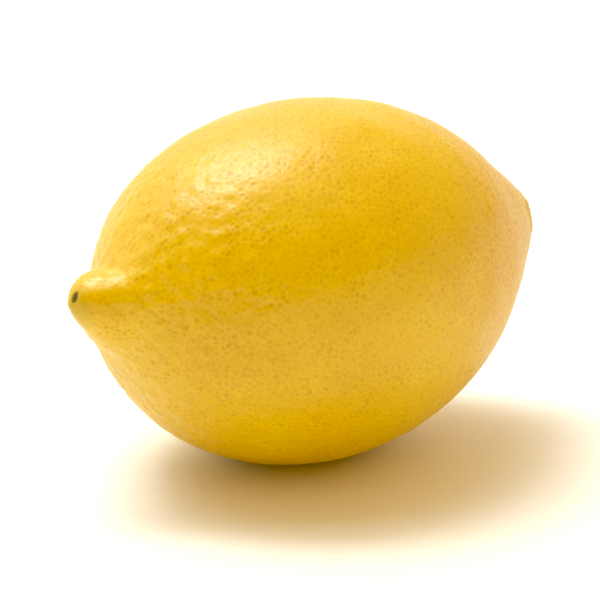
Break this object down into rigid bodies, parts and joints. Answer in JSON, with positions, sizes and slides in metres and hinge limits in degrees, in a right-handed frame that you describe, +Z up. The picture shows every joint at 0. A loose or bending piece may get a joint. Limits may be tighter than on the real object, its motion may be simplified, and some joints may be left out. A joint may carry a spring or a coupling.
{
  "type": "lemon",
  "caption": "Whole ripe lemon lying on its side, with a pointed nipple at one end and a green calyx and clipped stalk at the other.",
  "frame": {"origin": "centre of the lemon's footprint, at the height of the surface it rests on", "axes": "+X along the fruit from the nipple end to the stem end, +Z up"},
  "size_m": [0.086, 0.057, 0.0585],
  "materials": {
    "peel": "waxy, pitted yellow citrus peel with a soft sheen",
    "calyx": "dry, matt, pale green to olive plant tissue",
    "stalk": "matt green bark with a brown cut end"
  },
  "bodies": {
    "root": {"fruit": "peel", "calyx": "calyx", "stem_stub": "stalk"}
  },
  "joints": []
}
